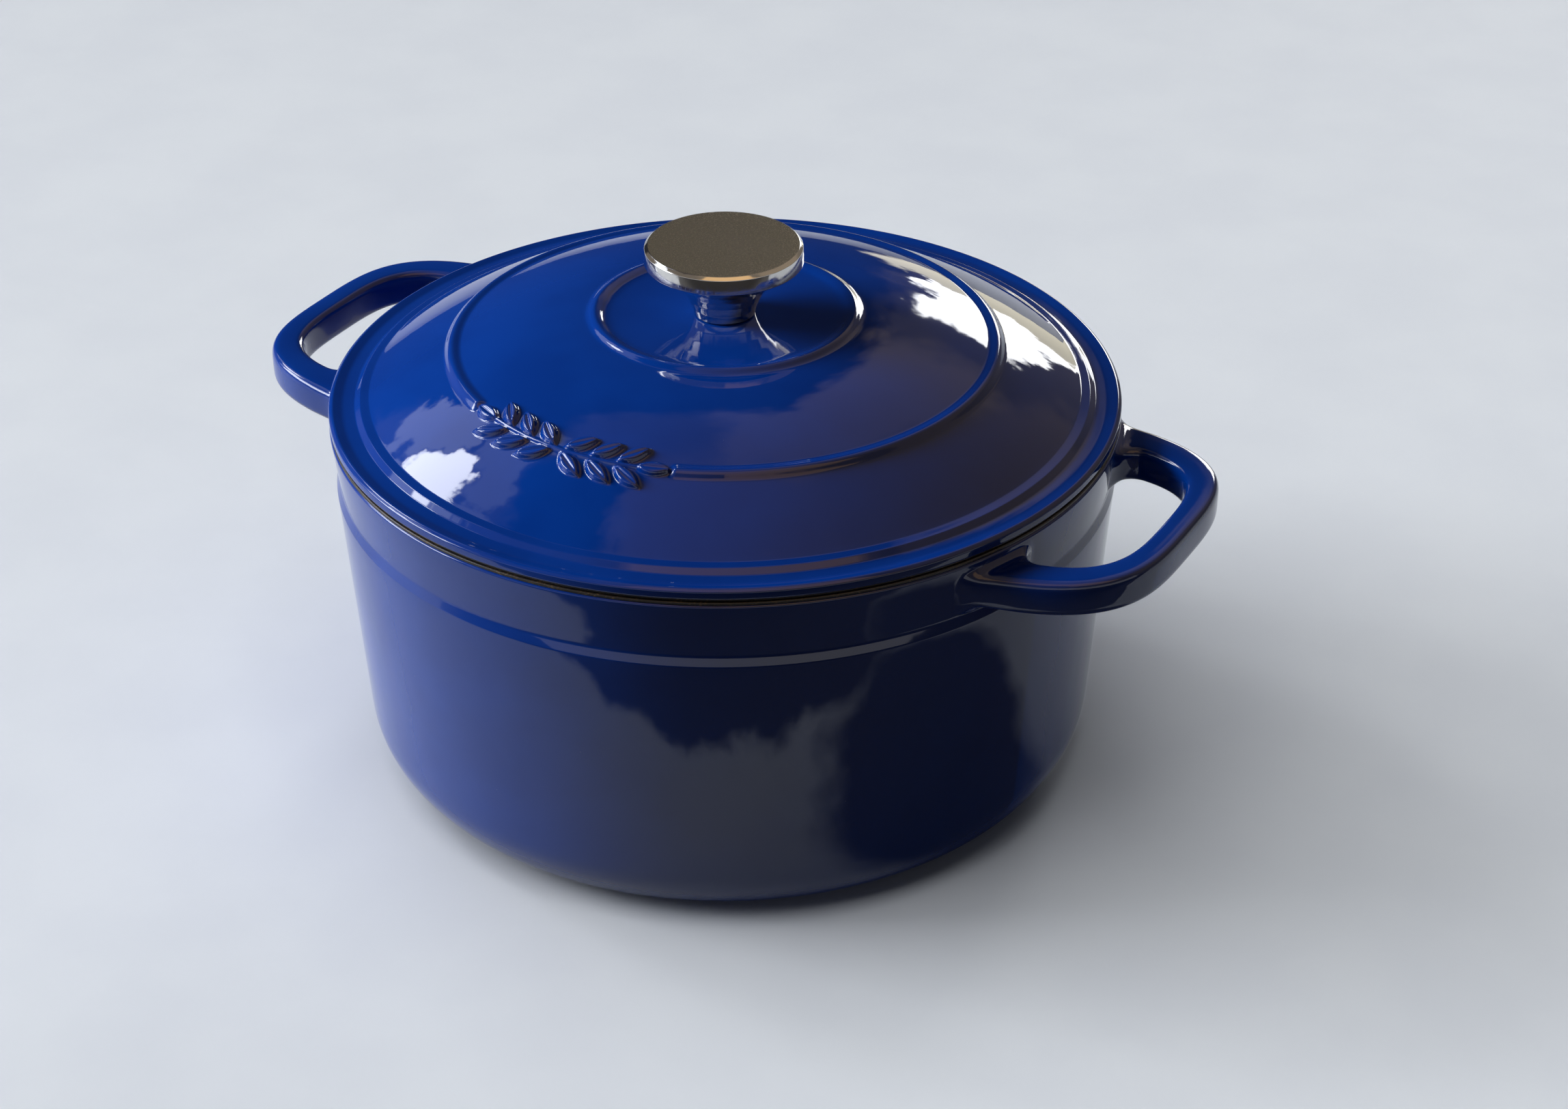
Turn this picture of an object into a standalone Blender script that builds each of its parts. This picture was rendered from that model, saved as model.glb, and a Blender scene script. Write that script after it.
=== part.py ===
"""Enamelled cast iron dutch oven: pot with two loop handles, domed lid and metal knob.

Metres, +Z up. The oven stands on Z = 0, its axis is the Z axis and its handles lie along X.
"""
import math

import bmesh
import bpy
from mathutils import Vector

MM = 0.001
TAU = 2.0 * math.pi

# ---------------------------------------------------------------- driving dimensions, millimetres
GAP = 0.3                   # clearance between neighbouring pieces
COAT = 0.6                  # thickness of an enamel coat

POT_RIM_RADIUS = 137.0
POT_IRON_TOP = 132.0
POT_WALL_RADIUS = 136.0     # at the step
POT_FOOT_RADIUS = 128.6     # the same wall, drafted down to the floor
POT_FOOT_CORNER = 25.0
STEP_LOW, STEP_HIGH = 108.8, 112.2
BAND_RADIUS = 134.8         # foot of the flared band above the step
CAVITY_RIM_RADIUS = 131.4
CAVITY_RADIUS = 131.0       # at the height of the step
CAVITY_FOOT_RADIUS = 126.0
CAVITY_CORNER = 20.0
BASE_THICKNESS = 4.6
RIM_COAT_TOP = 133.1

# Each loop outline is a superellipse: its centre's distance from the axis, its two half sizes
# and the angle where it gives way to the flared root.
HANDLE_OUTER = (81.3, 93.2, 59.6, 64.0)
HANDLE_INNER = (120.0, 44.3, 41.8, 80.0)
HANDLE_POWER = 2.0 / 3.4
HANDLE_TOP = 128.4          # height of the top face at HANDLE_TOP_AT
HANDLE_TOP_AT = 140.0
HANDLE_SLOPE = 0.037
HANDLE_THICK = 12.8
HANDLE_EDGE = 3.4           # rounding of the bar's edges
HANDLE_STATIONS = 8         # on each side of the middle
# The two last sections of a loop: how far sideways its inner and outer points stand, their
# distances from the oven's axis, and how much the section grows upwards and downwards. The last
# one lies behind the wall, where the cavity cuts it off.
HANDLE_ROOTS = ((36.5, 137.4, 59.6, 138.4, 0.2, 1.2),
                (27.0, 127.0, 68.0, 127.0, 1.5, 5.0))

LID_RADIUS = 136.8
LID_UNDERSIDE = 134.2
LID_CROWN = 165.7           # dome height where the flat middle ends
DOME_SLOPE, DOME_CURVE = 0.04, 0.0037
LID_THICK = 3.8
LIP_OUTER, LIP_BOTTOM = 128.4, 128.7
LIP_WIDTH = 5.0
BARE_MIDDLE = 11.0          # radius left without enamel round the screw, under the lid
DOME_EDGE = 122.8
# Corners of the lid's edge, outwards from the end of the dome: radius, height, rounding.
LID_EDGE = ((125.9, 139.4, 1.0), (127.8, 137.7, 1.2), (132.0, 137.3, 8.0), (135.5, 138.0, 1.6),
            (LID_RADIUS, 137.0, 0.8), (LID_RADIUS, LID_UNDERSIDE, 0.7), (LIP_OUTER + 1.6, LID_UNDERSIDE))
DOME_STATIONS = (60.0, 74.0, 87.0, 99.0, 110.0, 119.0)
INNER_RING, OUTER_RING = 44.3, 93.5
RING_HALF_WIDTH, RING_HEIGHT = 3.3, 1.4
RING_SHARES = (-1.0, -0.6, -0.25, 0.25, 0.6, 1.0)
RING_ROOT = 1.5             # how deep the outer ring's helper reaches into the dome
RING_END_SIZE = 0.55        # of the open ring's first and last section
ORNAMENT_AT = -95.0         # angle about Z, degrees from +X
ORNAMENT_HALF_ANGLE = 24.0  # half of the gap that it fills in the outer ring
LEAF_PAIRS = 3              # on each side of the ornament's middle
LEAF_START, LEAF_PITCH = 4.3, 6.6   # degrees from the middle, and from leaf to leaf
LEAF_ROW = 4.0              # of each row from the ring's circle
LEAF_LEAN = math.radians(32.0)
LEAF_HALF_SIZE = (6.2, 2.7, 1.7)

KNOB_SEAT = 165.1
KNOB_RADIUS = 27.2
KNOB_BOTTOM, KNOB_TOP = 184.5, 191.0
STEM_FOOT_RADIUS = 10.4
STEM_TOP_RADIUS = 24.6      # right under the disc
# Flare of the stem under the disc: radius, and height above the knob's seat.
STEM_FLARE = ((11.2, 3.4), (12.6, 6.8), (14.6, 10.2), (17.6, 13.4), (21.4, 16.2), (24.2, 18.3))
SCREW_RADIUS = 3.0
SCREW_TOP = 177.0
HEAD_RADIUS, HEAD_HEIGHT = 6.0, 3.4
LID_BORE = 3.4
FLAT_WASHER = (9.0, 1.4)    # outer radius and thickness
SPRING_WASHER = (5.8, 1.5)

ROUND_STEPS = 48
OPEN_RING_STEPS = 42
KNOB_STEPS = 36
SMALL_STEPS = 24
ARC_STEP = math.radians(32.0)


# ---------------------------------------------------------------- materials
def material(name, colour, roughness, metallic=0.0):
    found = bpy.data.materials.new(name)
    found.use_nodes = True
    shader = found.node_tree.nodes["Principled BSDF"]
    shader.inputs["Base Color"].default_value = (*colour, 1.0)
    shader.inputs["Roughness"].default_value = roughness
    shader.inputs["Metallic"].default_value = metallic
    found.diffuse_color = (*colour, 1.0)
    return found


def blue_enamel():
    return material("blue_enamel", (0.006, 0.03, 0.19), 0.08)


def cream_enamel():
    return material("cream_enamel", (0.78, 0.73, 0.62), 0.12)


def black_enamel():
    return material("black_enamel", (0.012, 0.011, 0.011), 0.55)


def brushed_steel():
    return material("brushed_steel", (0.56, 0.54, 0.51), 0.28, 1.0)


def polished_steel():
    return material("polished_steel", (0.62, 0.61, 0.6), 0.1, 1.0)


# ---------------------------------------------------------------- outlines and lathe work
def rounded(outline, closed=True):
    """Turn (x, y) or (x, y, radius) corners into points, with an arc at each rounded corner."""
    points = []
    count = len(outline)
    for index, corner in enumerate(outline):
        here = Vector(corner[:2])
        radius = corner[2] if len(corner) > 2 else 0.0
        end_of_line = not closed and index in (0, count - 1)
        if radius == 0.0 or end_of_line:
            points.append(here)
            continue
        back = (Vector(outline[index - 1][:2]) - here).normalized()
        ahead = (Vector(outline[(index + 1) % count][:2]) - here).normalized()
        half = back.angle(ahead) / 2.0
        centre = here + (back + ahead).normalized() * (radius / math.sin(half))
        start = here + back * (radius / math.tan(half)) - centre
        turn = start.angle_signed(here + ahead * (radius / math.tan(half)) - centre)
        steps = max(1, round(abs(turn) / ARC_STEP))
        for step in range(steps + 1):
            angle = -turn * step / steps
            spun = Vector((start.x * math.cos(angle) - start.y * math.sin(angle),
                           start.x * math.sin(angle) + start.y * math.cos(angle)))
            points.append(centre + spun)
    return points


def offset(points, distance):
    """Move an open outline sideways, to the left of its direction of travel."""
    moved = []
    for index, point in enumerate(points):
        before = points[max(index - 1, 0)]
        after = points[min(index + 1, len(points) - 1)]
        along = (after - before).normalized()
        moved.append(point + Vector((-along.y, along.x)) * distance)
    return moved


def finish(name, bm, coat):
    """Make the named object from a bmesh built in millimetres."""
    bmesh.ops.scale(bm, vec=(MM, MM, MM), verts=bm.verts)
    bmesh.ops.recalc_face_normals(bm, faces=bm.faces)
    mesh = bpy.data.meshes.new(name)
    bm.to_mesh(mesh)
    bm.free()
    mesh.materials.append(coat)
    mesh.shade_smooth()
    mesh.set_sharp_from_angle(angle=math.radians(35.0))
    piece = bpy.data.objects.new(name, mesh)
    bpy.context.collection.objects.link(piece)
    return piece


def turned(name, points, coat, closed=True, steps=ROUND_STEPS):
    """Spin an outline of (radius, height) points about Z."""
    bm = bmesh.new()
    verts = [bm.verts.new((point[0], 0.0, point[1])) for point in points]
    edges = [bm.edges.new(pair) for pair in zip(verts, verts[1:])]
    if closed:
        edges.append(bm.edges.new((verts[-1], verts[0])))
    bmesh.ops.spin(bm, geom=verts + edges, cent=(0, 0, 0), axis=(0, 0, 1),
                   angle=TAU, steps=steps, use_merge=True)
    bmesh.ops.remove_doubles(bm, verts=bm.verts, dist=0.001)
    return finish(name, bm, coat)


def swept(name, sections, coat):
    """Join a row of closed sections, each a list of (x, y, z), into one capped solid."""
    bm = bmesh.new()
    loops = [[bm.verts.new(place) for place in section] for section in sections]
    for loop, following in zip(loops, loops[1:]):
        for index in range(len(loop)):
            after = (index + 1) % len(loop)
            bm.faces.new((loop[index], loop[after], following[after], following[index]))
    caps = [bm.faces.new(loops[0]), bm.faces.new(loops[-1])]
    bmesh.ops.triangulate(bm, faces=caps)
    return finish(name, bm, coat)


def combine(target, tool, operation):
    """Add a Boolean modifier that uses a hidden helper object."""
    tool.hide_render = True
    tool.display_type = "WIRE"
    step = target.modifiers.new(tool.name, "BOOLEAN")
    step.object = tool
    step.operation = operation
    step.solver = "EXACT"


# ---------------------------------------------------------------- pot
def cavity_outline():
    """Iron surface inside the pot, from the rim down to the middle of the base."""
    return rounded([(CAVITY_RIM_RADIUS, POT_IRON_TOP - 1.0),
                    (CAVITY_RADIUS, STEP_HIGH, 30.0),
                    (CAVITY_FOOT_RADIUS, BASE_THICKNESS, CAVITY_CORNER),
                    (0.0, BASE_THICKNESS)], closed=False)


def pot_casting(coat):
    """Iron pot with its stepped wall, flared band and both loop handles."""
    outside = rounded([(0.0, 0.0),
                       (POT_FOOT_RADIUS, 0.0, POT_FOOT_CORNER),
                       (POT_WALL_RADIUS, STEP_LOW, 1.5),
                       (BAND_RADIUS, STEP_HIGH, 3.0),
                       (POT_RIM_RADIUS, POT_IRON_TOP, 0.8),
                       (0.0, POT_IRON_TOP)], closed=False)
    pot = turned("pot_casting", outside, coat, closed=False)
    for name, side in (("right_handle_helper", 1.0), ("left_handle_helper", -1.0)):
        combine(pot, handle_helper(name, side, coat), "UNION")
    above = POT_IRON_TOP + 5.0
    plug = [Vector((0.0, above)), Vector((CAVITY_RIM_RADIUS, above))] + cavity_outline()
    combine(pot, turned("cavity_helper", plug, coat, closed=False), "DIFFERENCE")


def loop_point(loop, share):
    """Point of a loop outline: distance out from the oven's axis, and sideways from the middle."""
    centre, half_length, half_width, last_angle = loop
    angle = math.radians(last_angle * share)
    return Vector((centre + half_length * math.cos(angle) ** HANDLE_POWER,
                   half_width * math.sin(angle) ** HANDLE_POWER))


def on_circle(sideways, radius):
    """Point on a circle about the oven's axis, at a sideways distance from the handle's middle."""
    return Vector((math.sqrt(radius ** 2 - sideways ** 2), sideways))


def handle_stations():
    """Inner point, outer point, extra height above and extra depth below, along one loop."""
    stations = []
    for index in range(HANDLE_STATIONS + 1):
        share = index / HANDLE_STATIONS
        stations.append((loop_point(HANDLE_INNER, share), loop_point(HANDLE_OUTER, share), 0.0, 0.0))
    for inner_side, inner_radius, outer_side, outer_radius, above, below in HANDLE_ROOTS:
        inner = on_circle(inner_side, inner_radius)
        outer = on_circle(outer_side, outer_radius)
        stations.append((inner, outer, above, below))
    flip = Vector((1.0, -1.0))
    mirrored = [(inner * flip, outer * flip, above, below) for inner, outer, above, below in stations[:0:-1]]
    return mirrored + stations


def handle_section(inner, outer, above, below):
    """Rounded bar section that stands between an inner and an outer point of the loop."""
    width = (outer - inner).length
    top, bottom = above, -HANDLE_THICK - below
    corner = min(HANDLE_EDGE, width * 0.45)
    loop = rounded([(0.0, bottom, corner), (width, bottom, corner), (width, top, corner), (0.0, top, corner)])
    across = (outer - inner) / width
    section = []
    for point in loop:
        place = inner + across * point.x
        height = HANDLE_TOP + (place.x - HANDLE_TOP_AT) * HANDLE_SLOPE + point.y
        section.append(Vector((place.x, place.y, height)))
    return section


def handle_helper(name, side, coat):
    """Loop handle of one side; its ends finish inside the pot's wall."""
    sections = []
    for station in handle_stations():
        section = handle_section(*station)
        sections.append([(point.x * side, point.y * side, point.z) for point in section])
    return swept(name, sections, coat)


def pot_interior_enamel(coat):
    """Enamel over the whole cavity, a gap away from the iron."""
    iron = cavity_outline()
    wet_side = offset(iron, -GAP - COAT)
    dry_side = offset(iron, -GAP)
    wet_side[-1].x = 0.0
    dry_side[-1].x = 0.0
    turned("pot_interior_enamel", wet_side[::-1] + dry_side, coat, closed=False)


def pot_rim_enamel(coat):
    low = POT_IRON_TOP + GAP
    inner, outer = CAVITY_RIM_RADIUS - 0.3, POT_RIM_RADIUS - 0.5
    outline = rounded([(inner, low), (outer, low), (outer, RIM_COAT_TOP, 0.4), (inner, RIM_COAT_TOP, 0.4)])
    turned("pot_rim_enamel", outline, coat)


# ---------------------------------------------------------------- lid
def dome_height(radius):
    """Height of the lid's outer face, without its rings."""
    out = max(0.0, radius - INNER_RING)
    return LID_CROWN - DOME_SLOPE * out - DOME_CURVE * out ** 2


def ring_outline(centre, size=1.0):
    """Points over one raised ring, from its inner to its outer side."""
    points = []
    for share in RING_SHARES:
        radius = centre + share * RING_HALF_WIDTH * size
        bump = RING_HEIGHT * size * math.cos(share * math.pi / 2.0) ** 2
        points.append(Vector((radius, dome_height(radius) + bump)))
    return points


def lid_top_outline():
    """Upper side of the lid, from the screw hole out to the flat that faces the pot's rim."""
    middle = [Vector((LID_BORE, KNOB_SEAT)), Vector((14.0, KNOB_SEAT)), Vector((28.0, KNOB_SEAT + 0.3))]
    dome = [Vector((radius, dome_height(radius))) for radius in DOME_STATIONS]
    end_of_dome = (DOME_EDGE, dome_height(DOME_EDGE), 2.0)
    edge = rounded([dome[-1], end_of_dome, *LID_EDGE], closed=False)
    return middle + ring_outline(INNER_RING) + dome + edge[1:]


def lid_under_outline():
    """Underside of the lid from inside the locating lip to the screw hole."""
    lip_inner = LIP_OUTER - LIP_WIDTH
    points = [Vector((lip_inner, LIP_BOTTOM + 0.6)), Vector((lip_inner - 0.4, LIP_BOTTOM + 4.0))]
    for radius in reversed(DOME_STATIONS):
        points.append(Vector((radius - 2.5, dome_height(radius) - LID_THICK)))
    points.append(Vector((30.0, KNOB_SEAT - LID_THICK)))
    points.append(Vector((LID_BORE, KNOB_SEAT - LID_THICK)))
    return points


def lid_casting(coat):
    lip = [Vector((LIP_OUTER + 0.2, LID_UNDERSIDE - 1.0)), Vector((LIP_OUTER, LIP_BOTTOM + 1.0)),
           Vector((LIP_OUTER - 1.2, LIP_BOTTOM)), Vector((LIP_OUTER - 3.8, LIP_BOTTOM))]
    lid = turned("lid_casting", lid_top_outline() + lip + lid_under_outline(), coat)
    combine(lid, ring_helper(coat), "UNION")
    combine(lid, ornament_helper(coat), "UNION")


def ring_helper(coat):
    """Outer raised ring, open over the ornament, with tapered ends."""
    start = math.radians(ORNAMENT_AT + ORNAMENT_HALF_ANGLE)
    sweep = TAU - 2.0 * math.radians(ORNAMENT_HALF_ANGLE)
    sections = []
    for index in range(OPEN_RING_STEPS + 1):
        angle = start + sweep * index / OPEN_RING_STEPS
        size = RING_END_SIZE if index in (0, OPEN_RING_STEPS) else 1.0
        section = ring_outline(OUTER_RING, size)
        for radius in (OUTER_RING + RING_ROOT, OUTER_RING - RING_ROOT):
            section.append(Vector((radius, dome_height(radius) - RING_ROOT)))
        east, north = math.cos(angle), math.sin(angle)
        sections.append([(point.x * east, point.x * north, point.y) for point in section])
    return swept("outer_ring_helper", sections, coat)


def leaf(bm, angle, radius, lean):
    """One raised leaf of the ornament, lying on the dome."""
    made = bmesh.ops.create_uvsphere(bm, u_segments=8, v_segments=5, radius=1.0)
    verts = made["verts"]
    bmesh.ops.scale(bm, vec=LEAF_HALF_SIZE, verts=verts)
    slope = math.atan(DOME_SLOPE + 2.0 * DOME_CURVE * (radius - INNER_RING))
    for vert in verts:
        local = vert.co.copy()
        along = local.x * math.cos(lean) - local.y * math.sin(lean)
        outward = local.x * math.sin(lean) + local.y * math.cos(lean)
        reach = radius + outward * math.cos(slope) + local.z * math.sin(slope)
        turn = angle + along / radius
        height = dome_height(radius) - outward * math.sin(slope) + local.z * math.cos(slope)
        vert.co = Vector((reach * math.cos(turn), reach * math.sin(turn), height))


def ornament_helper(coat):
    """Generic sprig of leaves in the gap of the outer ring."""
    bm = bmesh.new()
    for side in (-1.0, 1.0):
        for index in range(LEAF_PAIRS):
            angle = math.radians(ORNAMENT_AT + side * (LEAF_START + LEAF_PITCH * index))
            for row in (-1.0, 1.0):
                leaf(bm, angle, OUTER_RING + row * LEAF_ROW, side * row * LEAF_LEAN)
    return finish("ornament_helper", bm, coat)


def lid_interior_enamel(coat):
    iron = lid_under_outline()[1:]
    iron[-1].x = BARE_MIDDLE
    wet_side = offset(iron, GAP + COAT)
    dry_side = offset(iron, GAP)
    turned("lid_interior_enamel", wet_side[::-1] + dry_side, coat)


def lid_rim_enamel(coat):
    low, high = RIM_COAT_TOP + GAP, LID_UNDERSIDE - GAP
    inner, outer = LIP_OUTER + 2.0, LID_RADIUS - 0.8
    outline = rounded([(inner, low), (outer, low, 0.3), (outer, high), (inner, high)])
    turned("lid_rim_enamel", outline, coat)


# ---------------------------------------------------------------- knob and its fastening
def knob_disc(coat):
    outline = rounded([(0.0, KNOB_BOTTOM), (KNOB_RADIUS, KNOB_BOTTOM, 0.5),
                       (KNOB_RADIUS - 0.3, KNOB_TOP - 1.2), (KNOB_RADIUS - 1.4, KNOB_TOP - 0.2),
                       (0.0, KNOB_TOP)], closed=False)
    turned("knob_disc", outline, coat, closed=False, steps=KNOB_STEPS)


def knob_stem(coat):
    """Trumpet-shaped stem with a blind bore for the lid screw."""
    low, high = KNOB_SEAT + GAP, KNOB_BOTTOM - GAP
    bore = SCREW_RADIUS + GAP
    flare = [(radius, KNOB_SEAT + above) for radius, above in STEM_FLARE]
    outline = rounded([(bore, low), (STEM_FOOT_RADIUS, low, 0.5), *flare, (STEM_TOP_RADIUS, high), (0.0, high),
                       (0.0, SCREW_TOP + GAP + 0.7), (bore, SCREW_TOP + GAP)])
    turned("knob_stem", outline, coat, steps=KNOB_STEPS)


def washer(name, top, size, coat):
    outer, thickness = size
    low = top - thickness
    outline = [(LID_BORE, low), (outer, low), (outer, top), (LID_BORE, top)]
    return turned(name, outline, coat, steps=SMALL_STEPS)


def fastening(coat):
    """Flat washer, split spring washer and slotted screw, stacked under the lid."""
    flat_top = KNOB_SEAT - LID_THICK - GAP
    washer("flat_washer", flat_top, FLAT_WASHER, coat)
    spring_top = flat_top - FLAT_WASHER[1] - GAP
    spring = washer("spring_washer", spring_top, SPRING_WASHER, coat)
    combine(spring, box_helper("split_helper", (5.0, 0.0, spring_top), (5.0, 1.0, 8.0), coat), "DIFFERENCE")
    lid_screw(spring_top - SPRING_WASHER[1] - GAP, coat)


def lid_screw(seat, coat):
    """Round-headed screw whose head bears at the height of the seat."""
    bottom = seat - HEAD_HEIGHT
    outline = rounded([(0.0, bottom), (HEAD_RADIUS, bottom, 1.6), (HEAD_RADIUS, seat, 0.3),
                       (SCREW_RADIUS, seat), (SCREW_RADIUS, SCREW_TOP - 0.6),
                       (SCREW_RADIUS - 0.6, SCREW_TOP), (0.0, SCREW_TOP)], closed=False)
    screw = turned("lid_screw", outline, coat, closed=False, steps=SMALL_STEPS)
    slot = box_helper("slot_helper", (0.0, 0.0, bottom), (16.0, 1.2, 3.0), coat)
    combine(screw, slot, "DIFFERENCE")


def box_helper(name, centre, size, coat):
    """Plain box used to cut a slot."""
    bm = bmesh.new()
    bmesh.ops.create_cube(bm, size=1.0)
    bmesh.ops.scale(bm, vec=size, verts=bm.verts)
    bmesh.ops.translate(bm, vec=centre, verts=bm.verts)
    return finish(name, bm, coat)


def main():
    for old in list(bpy.data.objects):
        bpy.data.objects.remove(old, do_unlink=True)
    blue, cream, black = blue_enamel(), cream_enamel(), black_enamel()
    brushed, polished = brushed_steel(), polished_steel()
    pot_casting(blue)
    pot_interior_enamel(cream)
    pot_rim_enamel(black)
    lid_casting(blue)
    lid_interior_enamel(cream)
    lid_rim_enamel(black)
    knob_disc(brushed)
    knob_stem(polished)
    fastening(polished)


main()
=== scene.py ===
"""Enamelled cast iron dutch oven: final meshes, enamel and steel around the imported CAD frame.

The oven's axis is Z, its handles lie along X, and its sizes start from the boxes of the CAD nodes.
Lengths of the oven are millimetres, and make_object() turns them into metres.
"""
import math

import bmesh
import bpy
import numpy as np
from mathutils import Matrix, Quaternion, Vector

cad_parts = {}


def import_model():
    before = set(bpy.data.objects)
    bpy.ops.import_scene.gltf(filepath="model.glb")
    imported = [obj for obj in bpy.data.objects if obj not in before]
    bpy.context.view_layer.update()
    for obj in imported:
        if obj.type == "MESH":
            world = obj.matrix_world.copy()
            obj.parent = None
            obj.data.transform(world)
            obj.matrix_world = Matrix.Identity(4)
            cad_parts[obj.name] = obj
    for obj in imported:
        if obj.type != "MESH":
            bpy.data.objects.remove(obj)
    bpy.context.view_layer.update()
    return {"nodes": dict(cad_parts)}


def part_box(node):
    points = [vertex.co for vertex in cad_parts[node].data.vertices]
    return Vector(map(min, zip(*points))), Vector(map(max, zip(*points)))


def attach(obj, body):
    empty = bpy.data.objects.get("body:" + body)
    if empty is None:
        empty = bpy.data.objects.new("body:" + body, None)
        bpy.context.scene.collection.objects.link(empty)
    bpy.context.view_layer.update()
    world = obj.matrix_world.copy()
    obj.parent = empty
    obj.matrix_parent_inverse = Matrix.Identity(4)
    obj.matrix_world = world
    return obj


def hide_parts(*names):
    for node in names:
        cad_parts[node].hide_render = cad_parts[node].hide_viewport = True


MM = 0.001
TAU = 2.0 * math.pi

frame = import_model()


def high(node):
    """Far corner of a node's box, in millimetres."""
    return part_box(node)[1] / MM


def low(node):
    """Near corner of a node's box, in millimetres."""
    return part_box(node)[0] / MM


# ---------------------------------------------------------------- sizes from the frame, millimetres
GAP = 0.3                                        # the frame's clearance between neighbours
POT_TOP = high("pot_casting").z
POT_RADIUS = high("pot_rim_enamel").x + 0.5      # at the rim
HANDLE_TIP = high("pot_casting").x
RIM_COAT_TOP = high("pot_rim_enamel").z
LID_RADIUS = high("lid_rim_enamel").x + 0.8
LID_UNDERSIDE = high("lid_rim_enamel").z + GAP
LIP_BOTTOM = low("lid_casting").z
SEAT = low("knob_stem").z - GAP                  # where the knob stands on the lid
KNOB_RADIUS = high("knob_disc").x
KNOB_TOP = high("knob_disc").z
KNOB_BOTTOM = low("knob_disc").z

# Pot: radii as distances inside the rim's radius.
WALL_RADIUS = POT_RADIUS - 1.0                   # at the step
FOOT_RADIUS = POT_RADIUS - 8.4
BAND_RADIUS = POT_RADIUS - 2.2
FOOT_CORNER = 25.0
STEP_LOW, STEP_HIGH = POT_TOP - 23.2, POT_TOP - 19.8
CAVITY_RIM, CAVITY_WALL, CAVITY_FOOT = POT_RADIUS - 5.6, POT_RADIUS - 6.0, POT_RADIUS - 11.0
BASE_THICKNESS = 4.6
COAT = 0.6

# Loop handles: centre's distance from the axis, half length, half width and last angle of each
# superellipse; the root beyond it bends into the wall.
HANDLE_OUTER = (HANDLE_TIP - 93.2, 93.2, 59.6, 62.0)
HANDLE_INNER = (HANDLE_TIP - 54.5, 44.3, 41.8, 74.0)
HANDLE_POWER = 2.0 / 3.4
HANDLE_BEND = 0.45                               # how long the bend into the wall keeps its direction
HANDLE_TOP = POT_TOP - 3.6
HANDLE_TOP_AT = 140.0
HANDLE_SLOPE = 0.037
HANDLE_THICK = 12.8
BAR_STEPS, BAR_POWER = 44, 2.0 / 4.6             # the bar's section, a soft rectangle
HANDLE_ROOT_INNER, HANDLE_ROOT_OUTER = 29.0, 66.5    # sideways place of the root on the wall
ROOT_RADIUS = BAND_RADIUS + 1.2                  # wall radius that the plan of the handles runs to
ROOT_FILLET = 4.5
ROOT_FILLET_ABOVE = 0.55                         # share of the fillet on the handle's upper side
ROOT_REACH = 5.0                                 # how far out a handle still follows the wall's slope
ROOT_SINK, ROOT_SINK_REACH = 0.5, 0.6            # how deep its end goes under the wall's surface
CAP_SHRINK = 0.985                               # places a handle's closed end inside the wall

# Lid.
CROWN = SEAT + 0.6
DOME_SLOPE, DOME_CURVE = 0.04, 0.0037
DOME_EDGE = LID_RADIUS - 14.0
LID_THICK = 3.8
LIP_OUTER = LID_RADIUS - 8.4
LIP_INNER = LIP_OUTER - 5.0
LIP_ROOT = LIP_OUTER + 1.6                       # where the lip meets the flat over the pot's rim
LID_BORE = 3.4
BARE_MIDDLE = 11.0                               # iron without enamel round the screw
INNER_RING, OUTER_RING = 44.3, 93.5
RING_HALF_WIDTH, RING_HEIGHT = 3.3, 1.4

# Sprig of leaves in the gap of the outer ring.
ORNAMENT_AT = math.radians(-95.0)
ORNAMENT_HALF_ANGLE = math.radians(24.0)
ORNAMENT_HALF_WIDTH = 12.0
ORNAMENT_MESH_WIDTH = 10.0                       # half width of the band with the finest mesh
LEAF_PAIRS = 3                                   # on each side of the ornament's middle
LEAF_START, LEAF_PITCH = 4.3, 6.0                # degrees from the middle, and between pairs
LEAF_ROW, LEAF_LEAN = 4.2, math.radians(32.0)
LEAF_LENGTH, LEAF_WIDTH, LEAF_HEIGHT = 6.8, 3.0, 1.8
LEAF_EDGE = 1.5                                  # width of the rise at a leaf's edge
VEIN_DEPTH, VEIN_WIDTH = 0.3, 0.45               # depth as a share of the leaf's height
STALK_HEIGHT, STALK_HALF_WIDTH, STALK_SHARE = 1.1, 1.2, 0.78

# Knob: (radius, height above the seat, rounding) of the stem's flare.
STEM_BORE = 3.3
STEM_BORE_DEPTH = 12.2
STEM_FLARE = ((10.4, GAP, 0.5), (11.2, 3.4, 6.0), (12.6, 6.8, 6.0), (14.6, 10.2, 6.0),
              (17.6, 13.4, 6.0), (21.4, 16.2, 6.0), (24.2, 18.3, 1.0))
STEM_TOP_RADIUS = 24.6

# Fineness of the meshes.
ROUND_STEPS = 256
KNOB_STEPS = 160
ARC_STEP = math.radians(7.0)
SHARP_EDGE = math.radians(50.0)


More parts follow.
